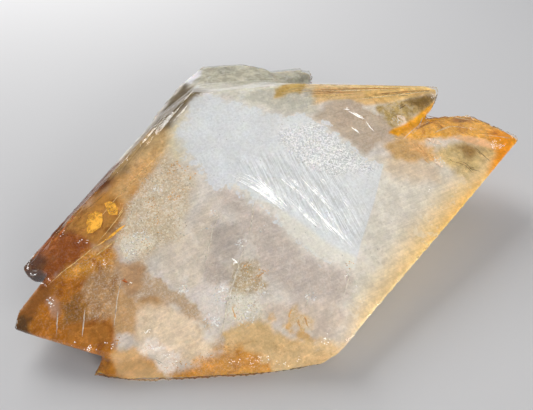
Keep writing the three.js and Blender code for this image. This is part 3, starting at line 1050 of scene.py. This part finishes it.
STREWN: tuple[Strewn, ...] = (
    Strewn("frost_crust", FROST_GRAIN, (CRUST,), (), 1.3, (0.2, 0.5), seed=11),
    Strewn("frost_dust", FROST_GRAIN, (FROSTED,), (), 0.10, (0.15, 0.35), seed=12),
    Strewn("west_grains", CREAM_GRAIN, (GRANULAR_WEST,), ((-31, -48, 4.5), (-34, -43, 2.5)), 0.7,
        (0.2, 0.5), seed=13),
    Strewn("white_lumps", FROST_GRAIN, (), ((-55, -11, 1.8), (-53, -12, 1.6), (-58, -15, 1.8),
        (-43, 2, 1.6), (-29, -15, 1.2), (-33, -19, 1.3), (-24, -28, 1.6), (-36, -40, 2.6), (-42, -46, 2.2),
        (-47, -33, 1.6), (-31, -49, 2.5), (-16, -27, 1.3), (-11, -52, 1.5), (62, -19, 1.6), (59, -27, 1.6),
        (54, -5, 1.6), (-87, -18, 1.0), (-24, -45, 1.5)), 1.4, (0.25, 0.6), seed=14),
    Strewn("amber_flecks", AMBER_FLECK, (), ((-35, 7, 1.6), (-32, 4, 1.4), (-37, 6, 1.2), (-31, 1, 1.0),
        (-39, -3, 1.6), (-37, -3, 1.2), (-47, -2, 1.8), (-48, 0, 1.2), (-47, -8, 1.2), (-53, -14, 1.4),
        (-48, -13, 1.0), (-57, 1, 1.4), (-50, 9, 2.0), (-45, 11, 2.0), (-21, -40, 1.6), (-24, -41, 1.2),
        (-26, -36, 1.4), (-50, -53, 2.0), (-46, -54, 2.0), (-40, -55, 1.8), (-55, -51, 1.4), (6, -48, 1.2),
        (55, -20, 2.2), (57, -24, 1.8), (-70, -38, 1.0)), 1.5, (0.2, 0.5), seed=15),
    Strewn("dark_specks", DARK_SPECK, (((-30, 14), (10, 14), (30, -6), (60, -24), (50, -36), (10, -54),
        (-12, -20), (-24, -6)),), (), 0.022, (0.14, 0.26), seed=16),
    Strewn("west_specks", DARK_SPECK, (GRANULAR_WEST,), ((-70, -20, 3.5), (-68, -24, 3.0)), 0.12,
        (0.15, 0.3), seed=17),
    # Painted highlights: white specks with a painted glow, standing for light caught by tiny facets.
    Strewn("sparkles", SPARKLE, (), ((-12, -65, 0.9), (-35, -59, 0.8), (-32, -60, 0.7), (-30, -61, 0.5),
        (-38, -58, 0.5), (-28, -63, 0.4), (-61, -40, 0.6), (-62, -24, 0.5), (-67, -14, 0.5),
        (-86, -18, 0.8), (-74, -37, 0.4), (-89, -29, 0.7), (86, -29, 1.6), (89, -30, 1.2), (49, -35, 0.5),
        (58, -39, 0.4), (4, -60, 0.6), (4, -51, 0.7), (5, -55, 0.4), (-73, -4, 0.6), (-78, 2, 0.7),
        (71, -20, 0.6), (92, -11, 1.6), (90, -9, 1.2), (97, -27, 0.8), (-29, -33, 0.6), (83, -18.5, 0.5),
        (84, -21, 0.5), (84, -23, 0.4), (77, 2, 0.8), (-4, 56, 0.6), (-6, 53, 0.4), (-31, 25, 0.5),
        (-29, 29, 0.5), (-71, -5, 0.6), (-71, -13, 0.4), (-67, -15, 0.4), (-80, -16, 0.4), (-40, -57, 0.5),
        (-27, -31, 0.4), (-87, -30.5, 0.7), (-83, -33, 0.5), (-79, -36, 0.8), (-76, -37.5, 0.5),
        (-72, -39, 0.4), (96, -28, 0.5), (-34, -60, 0.5), (-25, -64, 0.4), (-21, -65, 0.4), (-9, -62, 0.5),
        (-58, -47, 0.6), (-61, -44, 0.6), (-56, -50, 0.5)), 2.6, (0.14, 0.30), 0.1, seed=18),
    # White glowing chips along the west tips' edges: partly real chips, partly painted highlights on the
    # rims.
    Strewn("tip_chips", SPARKLE, (), ((-92, -1, 1.2), (-91, -4, 1.2), (-90, -6, 1.2), (-88, -9, 1.2),
        (-86, -11, 1.4), (-97, -22, 1.0), (-96, -23, 1.0), (-91, 1, 0.8)), 0.7, (0.12, 0.3), 0.3, seed=19),
)


@dataclass
class Strews:
    """All strewn grains, each kind a piece of its own.

    Grains lie only where the body faces up and their share is over faintest. Areas and spots fade out
    over their edges, in millimetres.
    """

    body: Piece
    facing: tuple[float, float] = (0.1, 0.3)
    area_edge: tuple[float, float] = (-1.5, 2.5)
    spot_edge: tuple[float, float] = (-0.5, 0.3)
    faintest: float = 0.02

    def build(self) -> None:
        """Strews every kind over the milky body."""
        scattering = Scattering()
        places, normals, plan = surface(self.body.data)
        upward = smooth(normals[:, 2], *self.facing)
        faces = np.array([tuple(p.vertices) for p in self.body.data.polygons if len(p.vertices) == 4])
        for kind in STREWN:
            here = self.share(kind, plan) * upward
            chosen = faces[here[faces].max(axis=1) > self.faintest]
            used, flat = np.unique(chosen, return_inverse=True)
            raised = places[used] + normals[used] * kind.lift * MM
            mesh = bpy.data.meshes.new(kind.name)
            mesh.from_pydata(raised.tolist(), [], flat.reshape(-1, 4).tolist())
            add_values(mesh, "here", here[used])
            scattering.grow(kind.name, mesh, kind.finish, {
                "Density": kind.density * PER_SQUARE_MM, "Smallest": kind.sizes[0] * MM,
                "Largest": kind.sizes[1] * MM, "Flatness": kind.flatness, "Tilt": kind.tilt,
                "Seed": kind.seed})

    def share(self, kind: Strewn, plan: Array) -> Array:
        """Finds how thickly a kind lies.

        Args:
            kind: The kind of grain.
            plan: Places of the plan.

        Returns:
            Its share at each place, from 0 to 1.
        """
        share = np.zeros(len(plan))
        for outline in kind.areas:
            share = np.maximum(share, smooth(signed_distance(plan, outline), *self.area_edge))
        for x, y, radius in kind.spots:
            away = np.linalg.norm(plan - (x, y), axis=1)
            share = np.maximum(share, smooth(radius - away, *self.spot_edge))
        return share


@dataclass(frozen=True)
class Needles:
    """Needles in one finish, each along its own path of the plan.

    Each path is drawn as so many strands, which lie about spread to its side and depth under the skin.
    """

    name: str
    finish: Inclusion
    paths: tuple[Plan, ...]
    thickness: float
    strands: int = 1
    spread: float = 0.0
    depth: float = 1.02
    seed: int = 1


NEEDLES: tuple[Needles, ...] = (
    Needles("bright_wedge", BRIGHT, (((-18, -5), (-11, -14), (-6, -23)), ((-16, -6), (-11, -12), (-7, -18),
        (-5.5, -23)), ((-12, -7), (-9, -13), (-6.5, -20)), ((-10, -8), (-8, -14), (-7, -19)), ((-13, -11),
        (-8, -19), (-5, -24)), ((-9, -15), (-6, -21)), ((-10, -12), (-6, -19))), 0.125, 7, 0.75, 0.98, 30),
    Needles("feathers", BRIGHT, (((-1, -11), (3, -23), (6, -35), (8, -42)), ((-2, -12), (2, -21)),
        ((-3, -20), (0, -28), (4, -36)), ((1, -12), (3, -18)), ((7, -18), (9, -27), (12, -33)), ((3, -23),
        (5, -30), (8, -38), (10, -44)), ((8, -29), (9, -37), (11, -44)), ((0, -26), (1, -31)), ((15, -27),
        (16, -31)), ((11, -17), (12, -20)), ((5, -14), (8, -24)), ((7, -18), (11, -29))), 0.125, 4, 0.5,
        0.98, 31),
    Needles("cleavage_lines", PALE_LINE, (((-23, -29), (-28, -34.7), (-32, -39.4), (-36, -44), (-40, -49.8),
        (-42.5, -52.5)), ((-26, -15), (-32, -21.3), (-38, -29.8), (-39.3, -32)), ((-14, -17),
        (-17.7, -22.5), (-20.3, -27)), ((-64, -22), (-67, -27), (-70, -34)), ((-77, -25), (-78.5, -29),
        (-80, -32.5)), ((-85, -22), (-86, -25), (-87, -28.5)), ((-63, -45), (-61, -48), (-58, -51)),
        ((72, -4), (69, -5), (63, -9), (58, -11), (51, -14)), ((4, -49), (4, -52), (2, -54), (-1, -57)),
        ((-11, -52), (-14, -55)), ((-24, -44), (-22, -48)), ((5, -50), (2, -52))), 0.19, 2, 0.2, 1.0, 32),
    Needles("gold_lines", Inclusion("gold_line", (246, 206, 140)), (((-56, 0), (-64, -5), (-68, -7)),
        ((-62, -9), (-70, -11)), ((-36, 15), (-56, 6), (-68, -1)), ((47.5, -11.5), (51, -15)), ((-60, -6),
        (-66, -7.5)), ((20, 24), (50, 16), (79, 6)), ((32, 12), (50, 7.5), (78, 3.2)), ((14, 21.3),
        (19, 20.6), (23, 20.3)), ((24, 16), (46, 10)), ((-86, -13), (-81, -11), (-76, -10), (-70, -8.2),
        (-62, -7.2))), 0.18, 2, 0.4, 1.0, 33),
    Needles("dark_streaks", Inclusion("smoky_streak", (154, 124, 74), 0.55), (((77, -27), (78, -31),
        (79, -34.5)), ((64, -29), (68, -32), (69, -36)), ((68, -33), (72, -36.5)), ((52, 8), (66, 5),
        (77, 3.4)), ((58, -1), (62, 0)), ((82, -12), (88, -12))), 0.18, 3, 0.5, 1.0, 36),
    # Painted highlights: bright glowing lines along the west tips' edges, where the rims catch the light.
    Needles("west_rims", Inclusion("pale_rim", (248, 240, 232), 1.2, painted_glow=0.35), (((-91, -1), (-92, -3)),
        ((-92, -4), (-92, -5.5), (-91, -7.5), (-89.5, -9.5)), ((-89, -10.5), (-87, -12)), ((-98, -21.5),
        (-97, -24), (-95, -25.5)), ((-92, -0.5), (-89, 1.5))), 0.17, 2, 0.15, 0.3, 37),
    Needles("amber_rims", Inclusion("deep_amber", (190, 106, 36), 1.0), (((-90.5, -0.3), (-84.5, 3),
        (-78, 3.3), (-71.5, 5.3)), ((-64, -22), (-62, -24))), 0.30, 2, 0.3, 1.0, 38),
    Needles("cream_streaks", Inclusion("cream_streak", (240, 218, 174), 0.8, painted_glow=0.08), (((16, 22),
        (50, 13), (78, 5)), ((30, 17), (60, 9)), ((44, 8), (78, 2.8)), ((56, -13), (66, -8), (78, -4)),
        ((80, -6), (92, -14)), ((64, -16), (76, -14), (88, -20)), ((86, -24), (94, -28))), 0.16, 3, 0.55,
        1.0, 39),
    Needles("brown_streaks", Inclusion("brown_streak", (186, 134, 66), 0.7), (((24, 19), (46, 13.5),
        (66, 8)), ((50, 9), (76, 4)), ((60, -11), (74, -8)), ((70, -4), (84, -9)), ((84, -22), (92, -25)),
        ((-74, 2), (-68, 6), (-60, 9))), 0.17, 3, 0.55, 1.0, 40),
    Needles("amber_strokes", AMBER_FLECK, (((-18, -53.5), (-20, -55.4)), ((-17.5, -57), (-18, -59.7)),
        ((-15.4, -57), (-15.6, -60.4)), ((-35, -45), (-35, -49)), ((-21, -40), (-24, -41)), ((53, -17),
        (54, -20), (56, -24)), ((55, -18), (56, -22), (57, -25)), ((54, -24), (55, -27)), ((-41, -54),
        (-38, -57))), 0.22, 2, 0.3, 1.05, 34),
    Needles("back_streaks", WHITE, (((36.5, 4.6), (39, 1.4), (41, -1)), ((37, 4), (39.5, 0.5)), ((41, -2),
        (41, -4.5), (41.5, -7)), ((34, -2.5), (35.5, -6)), ((35, 6), (37, 5.2)), ((-29, -32), (-28, -34))),
        0.26, 3, 0.3, 1.0, 35),
)


@dataclass
class NeedleWork:
    """The feathers, cleavage lines and strokes, drawn just under the skin.

    Needles have a place every step, waver to the side, may run past the ends of their path by a share
    of it, and taper to tip, a share of their thickness.
    """

    form: CrystalForm
    step: float = 0.8
    waver: float = 0.05
    past_ends: float = 0.05
    tip: float = 0.15

    def build(self) -> None:
        """Draws every set of needles."""
        sweep = PathSweep()
        for kind in NEEDLES:
            sweep.grow(kind.name, self.paths_mesh(kind), kind.finish, {"Thickness": kind.thickness * MM})

    def paths_mesh(self, kind: Needles) -> Mesh:
        """Lays the paths of one kind under the skin.

        Args:
            kind: The needles.

        Returns:
            A mesh of bare edges with the taper of each vertex.
        """
        rng = np.random.default_rng(kind.seed)
        ends = (-self.past_ends, 1 + self.past_ends)
        places, edges, tapers = [], [], []
        for path in kind.paths:
            corners = np.array(path, float)
            lengths = np.r_[0, np.cumsum(np.linalg.norm(np.diff(corners, axis=0), axis=1))]
            for strand in range(kind.strands):
                first, last = np.sort(rng.uniform(*ends, 2)) if strand else (0.0, 1.0)
                count = max(4, int(lengths[-1] * (last - first) / self.step))
                offset = rng.normal(0, kind.spread, 2) if strand else np.zeros(2)
                row = []
                for u in np.linspace(first, last, count):
                    spot = [np.interp(u * lengths[-1], lengths, corners[:, axis]) for axis in (0, 1)]
                    spot = np.array(spot) + offset + rng.normal(0, self.waver, 2)
                    row.append(self.form.on_surface(tuple(spot), kind.depth))
                row = [tuple(hit) for hit in row if hit is not None]
                edges += [(len(places) + i, len(places) + i + 1) for i in range(len(row) - 1)]
                places += row
                for index in range(len(row)):
                    share = index / max(len(row) - 1, 1)
                    tapers.append(self.tip + (1 - self.tip) * math.sin(math.pi * share) ** 0.6
                                  * rng.uniform(0.7, 1.1) if 0 < share < 1 else self.tip)
        mesh = bpy.data.meshes.new(kind.name)
        mesh.from_pydata(places, edges, [])
        add_values(mesh, "taper", np.array(tapers))
        return mesh


@dataclass
class Plates:
    """Flat fracture faces close under the skin that throw the light back, partly by a painted reflection in
    their bright colour and glow.
    """

    form: CrystalForm
    name: str
    finish: Inclusion
    faces: tuple[Plan, ...]
    thickness: float = 0.12
    depth: float = 0.55

    def build(self) -> None:
        """Builds the plates."""
        places, polygons = [], []
        for outline in self.faces:
            start, count = len(places), len(outline)
            for depth in (self.depth, self.depth + self.thickness):
                places += [tuple(self.form.on_surface(spot, depth)) for spot in outline]
            top = list(range(start, start + count))
            low = [i + count for i in top]
            polygons += [tuple(top[::-1]), tuple(low)]
            for i in range(count):
                j = (i + 1) % count
                polygons.append((top[i], top[j], low[j], low[i]))
        mesh = bpy.data.meshes.new(self.name)
        mesh.from_pydata(places, [], polygons)
        mesh.materials.append(self.finish.material())
        ride_and_slot(new_piece(self.name, mesh))


# Painted reflections: the gold glints are bright gold plates with a painted glow, for light thrown back
# inside the stone.
GOLD_FACES: tuple[Plan, ...] = (
    ((-68.0, 3.6), (-65.5, 3.6), (-63.6, 2.0), (-64.2, -0.8), (-65.4, -2.6), (-68.4, -3.2), (-70.2, -2.6),
     (-69.6, 0.8)),
    ((-62, 5), (-60, 4.8), (-58.6, 3.4), (-58.2, 0.8), (-59.0, -1.0), (-61.6, 0.2)),
    ((-57.2, -5.6), (-60, -5.8), (-64, -7.0), (-67, -7.9), (-63, -7.6)),
)
PALE_FACES: tuple[Plan, ...] = (
    ((54.6, -3.6), (56.6, -3.9), (57.9, -5.2), (57.6, -6.6), (55.8, -6.2)),
    ((60.2, -16.8), (62.2, -17.8), (64.2, -19.6), (64.6, -21.4), (62.8, -21.0), (61.0, -19.0)),
    ((57, -26), (58.6, -27), (59.6, -29.4), (58.6, -30), (57.2, -28)),
)


@dataclass(frozen=True)
class Lamp:
    """A soft square lamp that looks at the crystal. Its place and side are in metres."""

    name: str
    place: tuple[float, float, float]
    side: float
    watts: float
    colour: Colour

    def hang(self) -> None:
        """Hangs the lamp."""
        data = bpy.data.lights.new(self.name, "AREA")
        data.size, data.energy, data.color = self.side, self.watts, self.colour
        lamp = new_piece(self.name, data)
        lamp.location = self.place
        lamp.rotation_euler = (-Vector(self.place)).to_track_quat("-Z", "Y").to_euler()


@dataclass
class Studio:
    """The pale floor, the soft lights and the camera. The floor's sizes are in metres."""

    camera_place: tuple[float, float, float] = (-49.84, -103.07, 130.13)
    camera_heading: float = 25.0
    camera_drop: float = 48.555
    focal_pixels: float = 400.0
    frame_width: float = 533.0
    sensor: float = 36.0
    floor_reach: float = 3.0
    floor_height: float = -0.00012
    floor_colour: Colour = (0.70, 0.70, 0.71)
    air_colour: Colour = (0.93, 0.95, 1.0)
    air_strength: float = 0.28
    lamps: tuple[Lamp, ...] = (Lamp("key", (-0.05, 0.565, 0.443), 0.40, 3.8, (1.0, 0.99, 0.97)),
                               Lamp("fill", (0.18, -0.672, 0.186), 0.42, 3.2, (1.0, 0.98, 0.95)))

    def build(self) -> None:
        """Sets up the stage."""
        self.camera()
        self.floor()
        for lamp in self.lamps:
            lamp.hang()
        world = bpy.data.worlds.new("studio_air")
        world.use_nodes = True
        air = world.node_tree.nodes["Background"]
        air.inputs["Color"].default_value = (*self.air_colour, 1.0)
        air.inputs["Strength"].default_value = self.air_strength
        scene = bpy.context.scene
        scene.world = world
        scene.view_settings.view_transform = "Standard"
        scene.cycles.use_denoising = True
        scene.cycles.transparent_max_bounces = 24
        scene.cycles.sample_clamp_indirect = 4.0

    def camera(self) -> None:
        """Places the camera at the photograph's viewing angle."""
        data = bpy.data.cameras.new("camera")
        data.sensor_width = self.sensor
        data.lens = self.sensor * self.focal_pixels / self.frame_width
        data.clip_start = 0.005
        camera = new_piece("camera", data)
        camera.location = [v * MM for v in self.camera_place]
        camera.rotation_euler = (math.radians(90 - self.camera_drop), 0, -math.radians(self.camera_heading))
        bpy.context.scene.camera = camera

    def floor(self) -> None:
        """Lays a plain pale floor just under the crystal."""
        mesh = bpy.data.meshes.new("floor")
        corners = [(x * self.floor_reach, y * self.floor_reach, self.floor_height)
                   for x, y in ((-1, -1), (1, -1), (1, 1), (-1, 1))]
        mesh.from_pydata(corners, [], [(0, 1, 2, 3)])
        floor = new_piece("floor", mesh)
        material, s = new_material("pale_floor")
        matte = s.add("ShaderNodeBsdfPrincipled", {"Base Color": (*self.floor_colour, 1.0),
                                                   "Roughness": 0.8})
        s.add("ShaderNodeOutputMaterial", {"Surface": matte.outputs[0]})
        mesh.materials.append(material)


def main() -> None:
    """Builds the stage and every piece in order."""
    logging.basicConfig(level=logging.INFO, format="%(name)s %(message)s")
    Studio().build()
    clouds = milk_clouds()
    form = CrystalForm()
    Skin(form).build(clouds)
    body = MilkyBody(form).build(clouds)
    Strews(body).build()
    NeedleWork(form).build()
    Plates(form, "gold_glints", GOLD_GLINT, GOLD_FACES).build()
    Plates(form, "pale_flakes", PALE_FLAKE, PALE_FACES).build()


if __name__ == "__main__":
    main()
